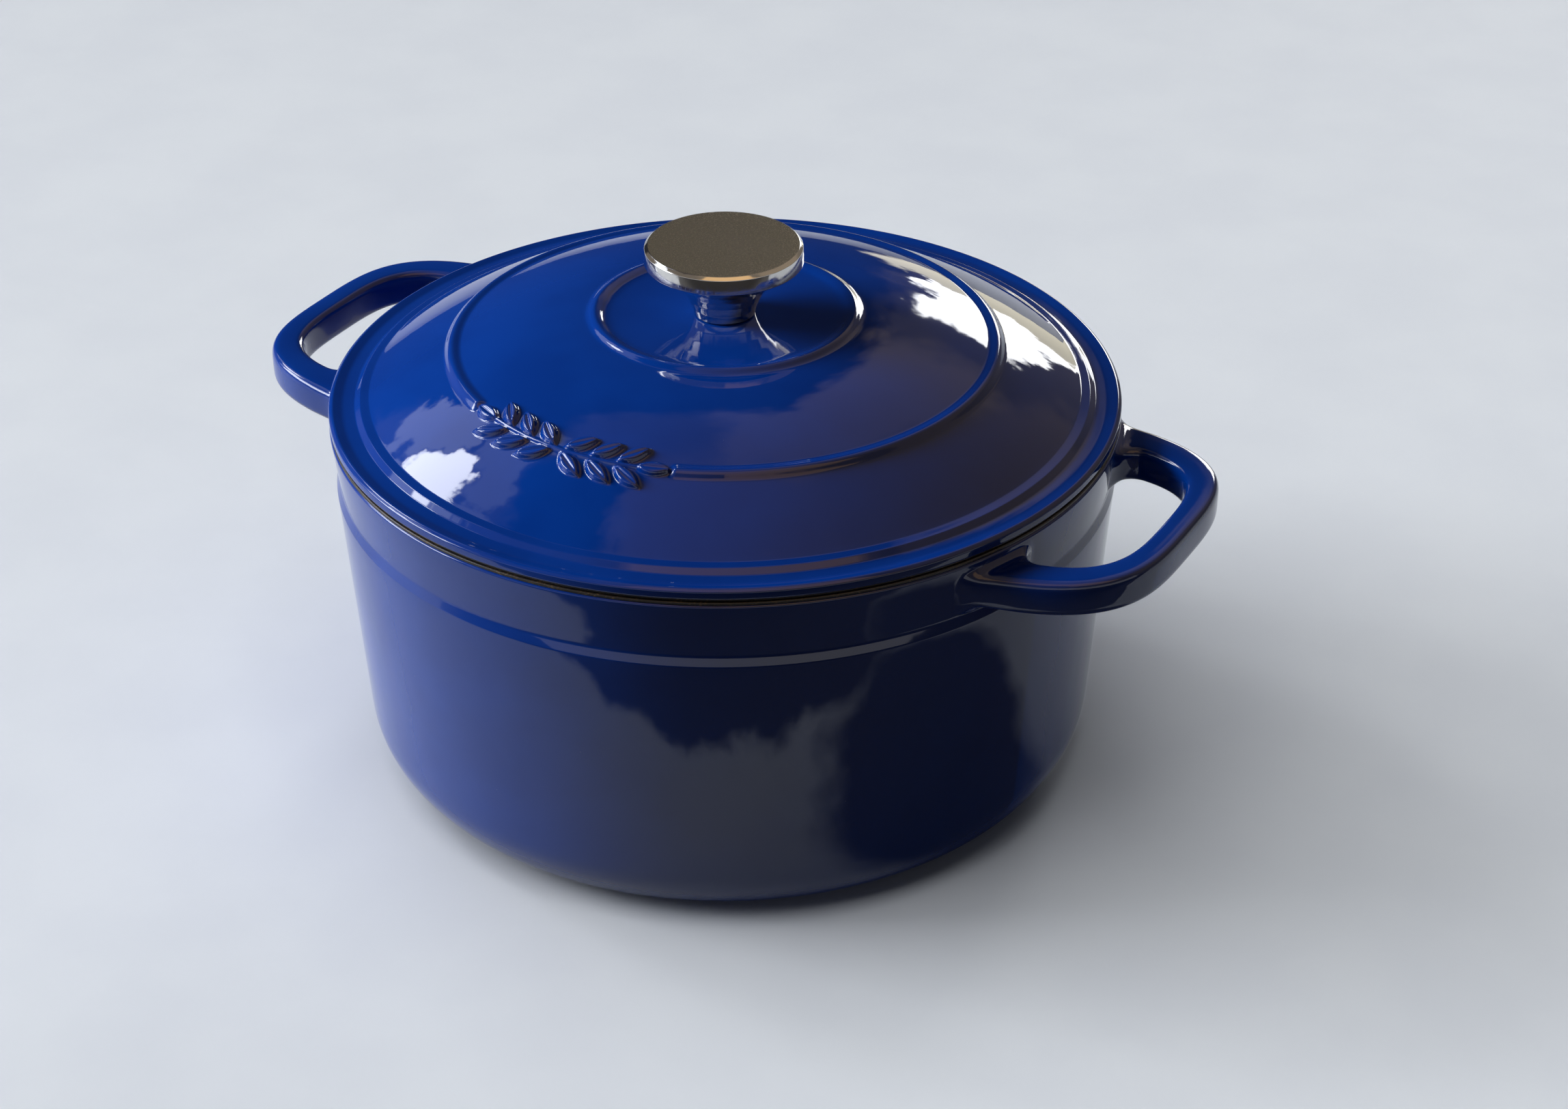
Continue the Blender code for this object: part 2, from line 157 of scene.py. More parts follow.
# ---------------------------------------------------------------- outlines and mesh building
def rounded(outline, closed=False):
    """Turn (x, y) or (x, y, radius) corners into points, with an arc at each rounded corner."""
    points = []
    count = len(outline)
    for index, corner in enumerate(outline):
        here = Vector(corner[:2])
        radius = corner[2] if len(corner) > 2 else 0.0
        if radius == 0.0 or (not closed and index in (0, count - 1)):
            points.append(here)
            continue
        back = (Vector(outline[index - 1][:2]) - here).normalized()
        ahead = (Vector(outline[(index + 1) % count][:2]) - here).normalized()
        half = back.angle(ahead) / 2.0
        centre = here + (back + ahead).normalized() * (radius / math.sin(half))
        start = here + back * (radius / math.tan(half)) - centre
        turn = start.angle_signed(here + ahead * (radius / math.tan(half)) - centre)
        steps = max(3, round(abs(turn) / ARC_STEP))
        for step in range(steps + 1):
            angle = -turn * step / steps
            turned = Vector((start.x * math.cos(angle) - start.y * math.sin(angle),
                             start.x * math.sin(angle) + start.y * math.cos(angle)))
            points.append(centre + turned)
    return points


def offset(points, distance):
    """Move an open outline sideways, to the left of its direction of travel."""
    moved = []
    for index, point in enumerate(points):
        before = points[max(index - 1, 0)]
        after = points[min(index + 1, len(points) - 1)]
        along = (after - before).normalized()
        moved.append(point + Vector((-along.y, along.x)) * distance)
    return moved


def spaced(points, longest):
    """Add points so that no stretch of an open outline is longer than the given length."""
    result = [points[0]]
    for start, end in zip(points, points[1:]):
        pieces = max(1, math.ceil((end - start).length / longest))
        result += [start.lerp(end, step / pieces) for step in range(1, pieces + 1)]
    return result


def even_angles(steps=ROUND_STEPS):
    """Angles of a full circle in equal steps."""
    return [TAU * step / steps for step in range(steps)]


def grid_faces(bm, rows, close_rows, close_columns):
    """Fill a grid of vertices with faces; rows and columns may close on themselves."""
    row_count = len(rows) if close_rows else len(rows) - 1
    width = len(rows[0])
    column_count = width if close_columns else width - 1
    for index in range(row_count):
        row = rows[index]
        following = rows[(index + 1) % len(rows)]
        for column in range(column_count):
            after = (column + 1) % width
            corners = []
            for vert in (row[column], row[after], following[after], following[column]):
                if vert not in corners:
                    corners.append(vert)
            if len(corners) > 2:
                bm.faces.new(corners)


def spun(points, angles, closed, relief=None):
    """Surface of revolution; relief(point, angle) may add height along the outline's normal."""
    bm = bmesh.new()
    normals = [side - point for point, side in zip(points, offset(points, 1.0))]
    rows = []
    for point, normal in zip(points, normals):
        if point.x < 0.001:
            rows.append([bm.verts.new((0.0, 0.0, point.y))] * len(angles))
            continue
        row = []
        for angle in angles:
            raised = relief(point, angle) if relief else 0.0
            radius, height = point + normal * raised
            row.append(bm.verts.new((radius * math.cos(angle), radius * math.sin(angle), height)))
        rows.append(row)
    grid_faces(bm, rows, close_rows=closed, close_columns=True)
    return bm


def smooth_shading(mesh):
    """Shade the mesh smooth, apart from its sharp edges."""
    mesh.shade_smooth()
    mesh.set_sharp_from_angle(angle=SHARP_EDGE)


def make_object(name, bm, materials):
    """Object with the given mesh, turned from millimetres into metres."""
    bmesh.ops.scale(bm, vec=(MM, MM, MM), verts=bm.verts)
    bmesh.ops.recalc_face_normals(bm, faces=bm.faces)
    mesh = bpy.data.meshes.new(name)
    bm.to_mesh(mesh)
    bm.free()
    for material in materials:
        mesh.materials.append(material)
    smooth_shading(mesh)
    made = bpy.data.objects.new(name, mesh)
    bpy.context.scene.collection.objects.link(made)
    return made


def tie(piece, body, node):
    """Let a piece stand in for its CAD node and move with its body."""
    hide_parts(node)
    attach(piece, body)


def finish_piece(name, bm, materials, body, node):
    """Make a piece and tie it to the frame."""
    tie(make_object(name, bm, materials), body, node)


def join_solid(target, tool):
    """Fuse a second mesh into the target and drop it."""
    step = target.modifiers.new("join", "BOOLEAN")
    step.operation = "UNION"
    step.solver = "EXACT"
    step.object = tool
    bpy.context.view_layer.update()
    evaluated = target.evaluated_get(bpy.context.evaluated_depsgraph_get())
    fused = bpy.data.meshes.new_from_object(evaluated)
    target.modifiers.clear()
    old = target.data
    target.data = fused
    bpy.data.meshes.remove(old)
    bpy.data.objects.remove(tool, do_unlink=True)


# ---------------------------------------------------------------- material helpers
class Nodes:
    """Short calls that add nodes to a material's or the world's node tree."""

    def __init__(self, tree):
        self.tree = tree

    def node(self, kind, **inputs):
        """Add a node; each input takes a value or another node's output."""
        made = self.tree.nodes.new(kind)
        for socket, value in inputs.items():
            self.feed(made.inputs[socket.replace("_", " ")], value)
        return made

    def feed(self, socket, value):
        """Link a node's output to a socket, or set the socket to a plain value."""
        if isinstance(value, bpy.types.NodeSocket):
            self.tree.links.new(value, socket)
        else:
            socket.default_value = value

    def ramp(self, value, start, end, low_value=0.0, high_value=1.0):
        """Smooth step from one value to another between a start and an end."""
        made = self.tree.nodes.new("ShaderNodeMapRange")
        made.interpolation_type = "SMOOTHSTEP"
        for socket, number in zip(made.inputs[:5], (value, start, end, low_value, high_value)):
            self.feed(socket, number)
        return made.outputs["Result"]

    def maths(self, operation, first, second):
        made = self.tree.nodes.new("ShaderNodeMath")
        made.operation = operation
        self.feed(made.inputs[0], first)
        self.feed(made.inputs[1], second)
        return made.outputs["Value"]

    def mix(self, factor, first, second):
        """Colour between the first, at 0, and the second, at 1."""
        made = self.tree.nodes.new("ShaderNodeMix")
        made.data_type = "RGBA"
        colours = [socket for socket in made.inputs if socket.type == "RGBA"]
        self.feed(made.inputs["Factor"], factor)
        self.feed(colours[0], first)
        self.feed(colours[1], second)
        return next(socket for socket in made.outputs if socket.type == "RGBA")

    def along(self, vector, axis):
        """Length of a vector's shadow on a fixed axis."""
        made = self.tree.nodes.new("ShaderNodeVectorMath")
        made.operation = "DOT_PRODUCT"
        self.feed(made.inputs[0], vector)
        made.inputs[1].default_value = axis
        return made.outputs["Value"]

    def inside(self, value, start, end, soft):
        """1 between two limits, falling smoothly to 0 over a soft width outside them."""
        rising = self.ramp(value, start - soft, start)
        falling = self.ramp(value, end, end + soft, 1.0, 0.0)
        return self.maths("MULTIPLY", rising, falling)

    def ray(self, kind):
        """1 for rays of one kind, 0 for all others."""
        return self.node("ShaderNodeLightPath").outputs[kind]


class Shader(Nodes):
    """A Principled material with procedural detail in the object's own space."""

    def __init__(self, name, colour, roughness, metallic=0.0):
        self.material = bpy.data.materials.new(name)
        self.material.use_nodes = True
        self.material.diffuse_color = (*colour, 1.0)
        super().__init__(self.material.node_tree)
        self.surface = self.tree.nodes["Principled BSDF"]
        self.set("Base Color", (*colour, 1.0))
        self.set("Roughness", roughness)
        self.set("Metallic", metallic)
        self.place = self.node("ShaderNodeTexCoord").outputs["Object"]

    def set(self, socket, value):
        """Give a surface input a plain value or another node's output."""
        self.feed(self.surface.inputs[socket], value)

    def noise(self, size_mm, detail=2.0, roughness=0.5):
        """Soft noise from 0 to 1, with blotches of about the given size."""
        made = self.node("ShaderNodeTexNoise", Vector=self.place, Scale=1.0 / (size_mm * MM),
                         Detail=detail, Roughness=roughness)
        return made.outputs["Fac"]

    def specks(self, spacing_mm, radius_mm, share):
        """Sparse round specks: 1 inside a speck, 0 outside; share is the part of cells with one."""
        cells = self.node("ShaderNodeTexVoronoi", Vector=self.place, Scale=1.0 / (spacing_mm * MM))
        edge = radius_mm / spacing_mm
        inside = self.ramp(cells.outputs["Distance"], edge * 0.6, edge, 1.0, 0.0)
        chosen = self.ramp(cells.outputs["Color"], share, share + 0.01, 1.0, 0.0)
        return self.maths("MULTIPLY", inside, chosen)

    def bump(self, height, depth_mm):
        """Add a layer of relief on top of the ones already there."""
        made = self.node("ShaderNodeBump", Strength=1.0, Distance=depth_mm * MM, Height=height)
        earlier = self.surface.inputs["Normal"].links
        if earlier:
            self.feed(made.inputs["Normal"], earlier[0].from_socket)
        self.set("Normal", made.outputs["Normal"])


def blue_enamel():
    """Glossy cobalt glass coat: faint clouds, orange peel, and a few trapped specks."""
    shader = Shader("blue_enamel", (0.0006, 0.0235, 0.17), 0.05)
    clouds = shader.ramp(shader.noise(45.0, 3.0), 0.35, 0.65)
    colour = shader.mix(clouds, (0.0005, 0.0215, 0.158, 1.0), (0.0008, 0.026, 0.184, 1.0))
    colour = shader.mix(shader.specks(7.0, 0.16, 0.25), colour, (0.06, 0.09, 0.22, 1.0))
    shader.set("Base Color", colour)
    shader.set("Roughness", shader.ramp(shader.noise(14.0), 0.3, 0.7, 0.022, 0.045))
    shader.bump(shader.noise(7.0, 1.0), 0.02)
    shader.bump(shader.specks(7.0, 0.2, 0.25), 0.01)
    shader.set("IOR", 1.5)
    return shader.material


def cream_enamel():
    """Off-white glass coat with faint clouding and fine dark specks."""
    shader = Shader("cream_enamel", (0.78, 0.73, 0.62), 0.12)
    clouds = shader.ramp(shader.noise(38.0, 3.0), 0.3, 0.7)
    colour = shader.mix(clouds, (0.76, 0.71, 0.59, 1.0), (0.81, 0.77, 0.67, 1.0))
    colour = shader.mix(shader.specks(9.0, 0.14, 0.2), colour, (0.25, 0.21, 0.16, 1.0))
    shader.set("Base Color", colour)
    shader.set("Roughness", shader.ramp(shader.noise(16.0), 0.3, 0.7, 0.1, 0.16))
    shader.bump(shader.noise(8.0, 1.0), 0.02)
    shader.set("IOR", 1.5)
    return shader.material


def rim_enamel():
    """Matt black coat of the rims, thin enough to let brown iron through in a fine grain."""
    shader = Shader("rim_enamel", (0.012, 0.011, 0.011), 0.55)
    grain = shader.ramp(shader.noise(0.9, 3.0, 0.7), 0.5, 0.72)
    patches = shader.ramp(shader.noise(9.0, 2.0), 0.35, 0.7)
    worn = shader.maths("MULTIPLY", grain, patches)
    colour = shader.mix(worn, (0.009, 0.008, 0.008, 1.0), (0.16, 0.1, 0.045, 1.0))
    shader.set("Base Color", colour)
    shader.set("Roughness", shader.ramp(grain, 0.0, 1.0, 0.4, 0.62))
    shader.bump(shader.noise(0.5, 2.0), 0.05)
    return shader.material


SATIN_GRAIN = (1800.0, 9000.0, 1800.0)           # grains per metre along X, Y and Z


def satin_steel():
    """Stainless top of the knob: satin, with a very fine straight grain."""
    shader = Shader("satin_steel", (0.56, 0.5, 0.41), 0.24, 0.95)
    stretched = shader.node("ShaderNodeMapping", Vector=shader.place, Scale=SATIN_GRAIN)
    grain = shader.node("ShaderNodeTexNoise", Vector=stretched.outputs["Vector"],
                        Scale=1.0, Detail=3.0, Roughness=0.6).outputs["Fac"]
    shader.set("Roughness", shader.ramp(grain, 0.3, 0.7, 0.23, 0.28))
    shader.set("Base Color", shader.mix(grain, (0.68, 0.6, 0.43, 1.0), (0.72, 0.63, 0.46, 1.0)))
    shader.bump(grain, 0.0005)
    return shader.material


def polished_steel():
    """Mirror-bright stainless with faint polishing marks."""
    shader = Shader("polished_steel", (0.66, 0.65, 0.63), 0.07, 1.0)
    marks = shader.noise(1.6, 4.0, 0.6)
    shader.set("Roughness", shader.ramp(marks, 0.35, 0.7, 0.05, 0.12))
    colour = shader.mix(shader.noise(5.0, 3.0), (0.6, 0.59, 0.57, 1.0), (0.7, 0.69, 0.67, 1.0))
    shader.set("Base Color", colour)
    shader.bump(shader.noise(3.0, 2.0), 0.003)
    return shader.material


# ---------------------------------------------------------------- pot
def cavity_outline():
    """Iron surface inside the pot, from the rim down to the middle of the base."""
    return rounded([(CAVITY_RIM, POT_TOP - 1.0),
                    (CAVITY_WALL, STEP_HIGH, 30.0),
                    (CAVITY_FOOT, BASE_THICKNESS, 20.0),
                    (0.0, BASE_THICKNESS)])


def wall_outline():
    """Outside of the pot, from the middle of the base up to the rim."""
    return rounded([(0.0, 0.0),
                    (FOOT_RADIUS, 0.0, FOOT_CORNER),
                    (WALL_RADIUS, STEP_LOW, 1.6),
                    (BAND_RADIUS, STEP_HIGH, 3.0),
                    (POT_RADIUS, POT_TOP, 0.9),
                    (CAVITY_RIM, POT_TOP)])


def wall_radius(height):
    """Radius of the pot's outer wall at a height on the band or just below it."""
    points = [point for point in wall_outline() if point.x > FOOT_RADIUS - FOOT_CORNER][:-1]
    return float(np.interp(height, [point.y for point in points], [point.x for point in points]))


def pot_exterior(coat):
    """Pot casting: a spun shell with both loop handles fused to it."""
    outline = spaced(wall_outline(), longest=6.0) + spaced(cavity_outline(), longest=12.0)
    pot = make_object("pot_exterior", spun(outline, even_angles(), closed=False), [coat])
    for name, side in (("right_handle", 1.0), ("left_handle", -1.0)):
        join_solid(pot, loop_handle(name, side, coat))
    smooth_shading(pot.data)
    tie(pot, "pot", "pot_casting")


def loop_path(loop, root, turn):
    """Plan of one side of a loop handle, from its middle to the wall.

    A superellipse, then a curve that bends into the wall. Its root stands at the given sideways
    place, and turn is +1 where it leaves along the wall away from the handle's middle.
    """
    centre, half_length, half_width, last = loop
    loop_steps = 30
    path = []
    for step in range(loop_steps + 1):
        angle = math.radians(last * step / loop_steps)
        path.append(Vector((centre + half_length * math.cos(angle) ** HANDLE_POWER,
                            half_width * math.sin(angle) ** HANDLE_POWER)))
    start = path[-1]
    leaving = (path[-1] - path[-2]).normalized()
    end = Vector((math.sqrt(ROOT_RADIUS ** 2 - root ** 2), root))
    arriving = Vector((-end.y, end.x)).normalized() * turn
    reach = (end - start).length * HANDLE_BEND
    first, second = start + leaving * reach, end - arriving * reach
    bend_steps = 22
    for step in range(1, bend_steps + 1):
        done = math.sin(step / bend_steps * math.pi / 2.0)       # closer together near the wall
        left = 1.0 - done
        path.append(start * left ** 3 + first * 3.0 * done * left ** 2
                    + second * 3.0 * done ** 2 * left + end * done ** 3)
    return path


def bar_section():
    """Unit section of the bar: share across it and share of half its height."""
    section = []
    for angle in even_angles(BAR_STEPS):
        x, y = math.cos(angle), math.sin(angle)
        across = 0.5 + 0.5 * math.copysign(abs(x) ** BAR_POWER, x)
        section.append((across, math.copysign(abs(y) ** BAR_POWER, y)))
    return section


def bar_point(inner, outer, across, upward):
    """Point of the handle's surface between the inner and outer plan points.

    Near the wall the bar thickens into a fillet and bends to the wall's real slope.
    """
    reach = inner.length + (outer.length - inner.length) * across
    bearing_inner = math.atan2(inner.y, inner.x)
    bearing_outer = math.atan2(outer.y, outer.x)
    bearing = bearing_inner + (bearing_outer - bearing_inner) * across
    plan = Vector((math.cos(bearing), math.sin(bearing))) * reach
    clear = max(0.0, reach - ROOT_RADIUS)
    near = max(0.0, ROOT_FILLET - clear)
    fillet = ROOT_FILLET - math.sqrt(max(0.0, ROOT_FILLET ** 2 - near ** 2))
    fillet *= ROOT_FILLET_ABOVE if upward > 0.0 else 1.0
    middle = HANDLE_TOP + (plan.x - HANDLE_TOP_AT) * HANDLE_SLOPE - HANDLE_THICK / 2.0
    height = middle + upward * (HANDLE_THICK / 2.0 + fillet)
    to_wall = (wall_radius(height) - ROOT_RADIUS) * math.exp(-clear / ROOT_REACH)
    sink = ROOT_SINK * math.exp(-clear / ROOT_SINK_REACH)
    shift = (reach + to_wall - sink) / reach
    return Vector((plan.x * shift, plan.y * shift, height))


def loop_handle(name, side, coat):
    """One loop handle, closed at its ends, which lie just under the wall's surface."""
    inner = loop_path(HANDLE_INNER, HANDLE_ROOT_INNER, -1.0)
    outer = loop_path(HANDLE_OUTER, HANDLE_ROOT_OUTER, 1.0)
    half = list(zip(inner, outer))
    flip = Vector((1.0, -1.0))
    mirrored = [(near * flip, far * flip) for near, far in half[:0:-1]]
    bm = bmesh.new()
    rows = []
    for near, far in mirrored + half:
        points = [bar_point(near, far, across, upward) for across, upward in bar_section()]
        rows.append([bm.verts.new((point.x * side, point.y * side, point.z)) for point in points])
    grid_faces(bm, rows, close_rows=False, close_columns=True)
    for end in (rows[0], rows[-1]):
        sunk = [(vert.co.x * CAP_SHRINK, vert.co.y * CAP_SHRINK, vert.co.z) for vert in end]
        cap = [bm.verts.new(place) for place in sunk]
        grid_faces(bm, [end, cap], close_rows=False, close_columns=True)
        bm.faces.new(cap)
    bmesh.ops.triangulate(bm, faces=[face for face in bm.faces if len(face.verts) > 4])
    return make_object(name, bm, [coat])


def pot_lining(coat):
    """Cream coat over the iron inside the pot."""
    iron = spaced(cavity_outline(), longest=12.0)
    wet, dry = offset(iron, -GAP - COAT), offset(iron, -GAP)
    wet[-1].x = dry[-1].x = 0.0
    bm = spun(wet[::-1] + dry, even_angles(), closed=False)
    finish_piece("pot_lining", bm, [coat], "pot", "pot_interior_enamel")


def pot_rim(coat):
    """Black band on top of the pot's rim."""
    base = POT_TOP + 0.05
    inner, outer = CAVITY_RIM - 0.3, POT_RADIUS - 0.5
    outline = rounded([(inner, base, 0.2), (outer, base, 0.2),
                       (outer, RIM_COAT_TOP, 0.5), (inner, RIM_COAT_TOP, 0.5)], closed=True)
    bm = spun(outline, even_angles(), closed=True)
    finish_piece("pot_rim", bm, [coat], "pot", "pot_rim_enamel")


# ---------------------------------------------------------------- lid
def dome_height(radius):
    """Height of the lid's upper side, which starts level and falls faster outwards."""
    out = max(0.0, radius - INNER_RING)
    return CROWN - DOME_SLOPE * out - DOME_CURVE * out ** 2


def lid_top_outline():
    """Upper side of the lid without its rings, from the screw hole to the flat over the pot's rim."""
    middle = [Vector((LID_BORE, SEAT)), Vector((12.0, SEAT)), Vector((14.0, SEAT + 0.05))]
    rise = [(20.0 + step * 2.0, 0.05 + 0.55 * (step / 12.0) ** 2) for step in range(13)]
    middle += [Vector((radius, SEAT + above)) for radius, above in rise]
    reach = DOME_EDGE - 3.0
    dome = [Vector((radius, dome_height(radius))) for radius in np.arange(45.0, reach, 1.0)]
    edge = rounded([(reach, dome_height(reach)),
                    (DOME_EDGE, dome_height(DOME_EDGE), 1.5),
                    (LID_RADIUS - 10.9, LID_UNDERSIDE + 5.2, 0.8),
                    (LID_RADIUS - 9.0, LID_UNDERSIDE + 3.5, 1.0),
                    (LID_RADIUS - 4.8, LID_UNDERSIDE + 3.1, 6.0),
                    (LID_RADIUS - 1.3, LID_UNDERSIDE + 3.8, 1.2),
                    (LID_RADIUS, LID_UNDERSIDE + 2.8, 0.9),
                    (LID_RADIUS, LID_UNDERSIDE, 0.8),
                    (LIP_ROOT, LID_UNDERSIDE)])
    return middle + dome + edge


def lid_under_outline():
    """Underside of the iron lid, from inside the locating lip to the screw hole."""
    points = [Vector((LIP_INNER, LIP_BOTTOM + 0.6)), Vector((LIP_INNER - 0.4, LIP_BOTTOM + 4.0))]
    points += [Vector((radius - 2.5, dome_height(radius) - LID_THICK)) for radius in range(119, 46, -4)]
    points += [Vector((30.0, SEAT - LID_THICK)), Vector((LID_BORE, SEAT - LID_THICK))]
    return points


def smooth(value):
    """Soft step from 0 to 1."""
    value = min(1.0, max(0.0, value))
    return value * value * (3.0 - 2.0 * value)


def ring_height(radius, centre):
    """Raised height of a ring with a round section."""
    share = abs(radius - centre) / RING_HALF_WIDTH
    return RING_HEIGHT * math.cos(share * math.pi / 2.0) ** 2 if share < 1.0 else 0.0


def sprig_leaves():
    """Places of the leaves: angle from the ornament's middle, row and lean."""
    leaves = []
    for side in (-1.0, 1.0):
        for index in range(LEAF_PAIRS):
            place = math.radians(side * (LEAF_START + LEAF_PITCH * index))
            for row in (-1.0, 1.0):
                leaves.append((place, row * LEAF_ROW, side * row * LEAF_LEAN))
        end_leaf = LEAF_START + LEAF_PITCH * LEAF_PAIRS - 1.2
        leaves.append((math.radians(side * end_leaf), 0.0, 0.0))
    return leaves


LEAVES = sprig_leaves()


def from_ornament(angle):
    """Angle from the middle of the ornament, between minus and plus half a turn."""
    return (angle - ORNAMENT_AT + math.pi) % TAU - math.pi


def leaf_height(x, y, lean):
    """Raised height of one leaf at a place measured from its centre."""
    lengthwise = x * math.cos(lean) + y * math.sin(lean)
    sideways = -x * math.sin(lean) + y * math.cos(lean)
    if abs(lengthwise) >= LEAF_LENGTH:
        return 0.0
    inside = LEAF_WIDTH * (1.0 - (lengthwise / LEAF_LENGTH) ** 2) - abs(sideways)
    vein = VEIN_DEPTH * math.exp(-(sideways / VEIN_WIDTH) ** 2)
    return LEAF_HEIGHT * smooth(inside / LEAF_EDGE) * (1.0 - vein)


def sprig_height(radius, angle):
    """Raised height of the leaf sprig at a place on the dome."""
    along = from_ornament(angle)
    out = radius - OUTER_RING
    if abs(along) > ORNAMENT_HALF_ANGLE or abs(out) > ORNAMENT_HALF_WIDTH:
        return 0.0
    height = 0.0
    if abs(along) < ORNAMENT_HALF_ANGLE * STALK_SHARE:
        height = STALK_HEIGHT * smooth(1.0 - abs(out) / STALK_HALF_WIDTH)
    for leaf_angle, row, lean in LEAVES:
        leaf = leaf_height((along - leaf_angle) * OUTER_RING, out - row, lean)
        height = max(height, leaf)
    return height


def lid_relief(point, angle):
    """Raised rings and sprig of the lid; the outer ring is open over the sprig."""
    on_edge = point.y < LID_UNDERSIDE + 6.0
    on_underside = point.y < dome_height(point.x) - 1.5
    if on_edge or on_underside:
        return 0.0
    open_end = smooth((abs(from_ornament(angle)) - ORNAMENT_HALF_ANGLE) / math.radians(1.6))
    outer_ring = ring_height(point.x, OUTER_RING) * open_end
    return ring_height(point.x, INNER_RING) + outer_ring + sprig_height(point.x, angle)


def lid_angles():
    """Angles round the lid, close together over the sprig."""
    fine_steps, coarse_steps = 180, 216
    half = ORNAMENT_HALF_ANGLE + math.radians(2.0)
    fine, coarse = 2.0 * half / fine_steps, (TAU - 2.0 * half) / coarse_steps
    angles = [ORNAMENT_AT - half + fine * step for step in range(fine_steps)]
    angles += [ORNAMENT_AT + half + coarse * step for step in range(coarse_steps)]
    return angles


def lid_exterior(coat):
    """Lid casting, with a mesh fine enough for the relief where the ornament lies."""
    top = lid_top_outline()
    fine = []
    for start, end in zip(top, top[1:]):
        on_ornament = abs(start.x - OUTER_RING) < ORNAMENT_MESH_WIDTH
        fine += spaced([start, end], longest=0.5 if on_ornament else 2.5)[:-1]
    fine.append(top[-1])
    lip = rounded([(LIP_ROOT, LID_UNDERSIDE), (LIP_OUTER + 0.2, LID_UNDERSIDE - 1.0),
                   (LIP_OUTER, LIP_BOTTOM, 1.2), (LIP_INNER, LIP_BOTTOM, 1.2),
                   (LIP_INNER, LIP_BOTTOM + 2.0)])
    outline = fine + lip[1:-1] + lid_under_outline()[1:]
    bm = spun(outline, lid_angles(), closed=True, relief=lid_relief)
    finish_piece("lid_exterior", bm, [coat], "lid", "lid_casting")


def lid_lining(coat):
    """Cream coat under the lid, from the lip to the bare iron round the screw."""
    iron = lid_under_outline()[1:]
    iron[-1].x = BARE_MIDDLE
    iron = spaced(iron, longest=6.0)
    wet, dry = offset(iron, GAP + COAT), offset(iron, GAP)
    bm = spun(wet[::-1] + dry, even_angles(), closed=True)
    finish_piece("lid_lining", bm, [coat], "lid", "lid_interior_enamel")


def lid_rim(coat):
    """Black band where the lid rests on the pot."""
    base, top = RIM_COAT_TOP + GAP, LID_UNDERSIDE - 0.05
    inner, outer = LIP_OUTER + 2.0, LID_RADIUS - 0.8
    outline = rounded([(inner, base, 0.2), (outer, base, 0.35),
                       (outer, top, 0.1), (inner, top, 0.1)], closed=True)
    bm = spun(outline, even_angles(), closed=True)
    finish_piece("lid_rim", bm, [coat], "lid", "lid_rim_enamel")


# ---------------------------------------------------------------- knob
def knob_cap(satin, polished):
    """Disc of the knob: satin top, polished chamfer and side."""
    outline = rounded([(0.0, KNOB_BOTTOM),
                       (KNOB_RADIUS, KNOB_BOTTOM, 0.4),
                       (KNOB_RADIUS - 0.2, KNOB_TOP - 1.1, 0.4),
                       (KNOB_RADIUS - 1.3, KNOB_TOP - 0.1, 0.4),
                       (0.0, KNOB_TOP)])
    bm = spun(spaced(outline, longest=4.0), even_angles(KNOB_STEPS), closed=False)
    for face in bm.faces:
        centre = face.calc_center_median()
        if centre.z > KNOB_TOP - 0.2 and math.hypot(centre.x, centre.y) < KNOB_RADIUS - 1.5:
            face.material_index = 1
    finish_piece("knob_cap", bm, [polished, satin], "lid", "knob_disc")


def knob_stem(polished):
    """Trumpet-shaped stem under the disc, with the bore for the screw."""
    flare = [(radius, SEAT + above, corner) for radius, above, corner in STEM_FLARE]
    top = KNOB_BOTTOM - 0.05
    bore_end = SEAT + STEM_BORE_DEPTH
    outline = rounded([(STEM_BORE, SEAT + GAP), *flare, (STEM_TOP_RADIUS, top), (0.0, top),
                       (0.0, bore_end + 0.7), (STEM_BORE, bore_end)], closed=True)
    bm = spun(outline, even_angles(KNOB_STEPS), closed=True)
    finish_piece("knob_neck", bm, [polished], "lid", "knob_stem")


def dress_fastening(polished):
    """The screw and its washers keep their CAD shape and take the polished steel."""
    for node in ("lid_screw", "spring_washer", "flat_washer"):
        mesh = frame["nodes"][node].data
        mesh.materials.clear()
        mesh.materials.append(polished)


# ---------------------------------------------------------------- camera and lights, in metres
CAMERA_PLACE = Vector((0.4724, -0.8019, 0.6301))
CAMERA_TARGET = Vector((0.0204, 0.0046, 0.0718))
CAMERA_ROLL = math.radians(-0.17)
CAMERA_LENS = 69.6           # millimetres, on a sensor 36 mm wide

# Level directions that place the lights, the room and the table: away from the camera, and right.
UP = Vector((0.0, 0.0, 1.0))
AWAY = Vector((CAMERA_TARGET.x - CAMERA_PLACE.x, CAMERA_TARGET.y - CAMERA_PLACE.y, 0.0)).normalized()
RIGHT = Vector((AWAY.y, -AWAY.x, 0.0))


def towards(azimuth, elevation):
    """Unit vector; azimuth is in degrees to the right of the direction away from the camera."""
    turn, rise = math.radians(azimuth), math.radians(elevation)
    level = AWAY * math.cos(turn) + RIGHT * math.sin(turn)
    return level * math.cos(rise) + UP * math.sin(rise)


def make_camera():
    """Camera at the photo's angle."""
    data = bpy.data.cameras.new("camera")
    data.lens = CAMERA_LENS
    data.sensor_width = 36.0
    data.clip_end = 50.0
    camera = bpy.data.objects.new("camera", data)
    bpy.context.scene.collection.objects.link(camera)
    aim = (CAMERA_TARGET - CAMERA_PLACE).to_track_quat("-Z", "Y")
    camera.location = CAMERA_PLACE
    camera.rotation_mode = "QUATERNION"
    camera.rotation_quaternion = aim @ Quaternion((0.0, 0.0, 1.0), CAMERA_ROLL)
    bpy.context.scene.camera = camera


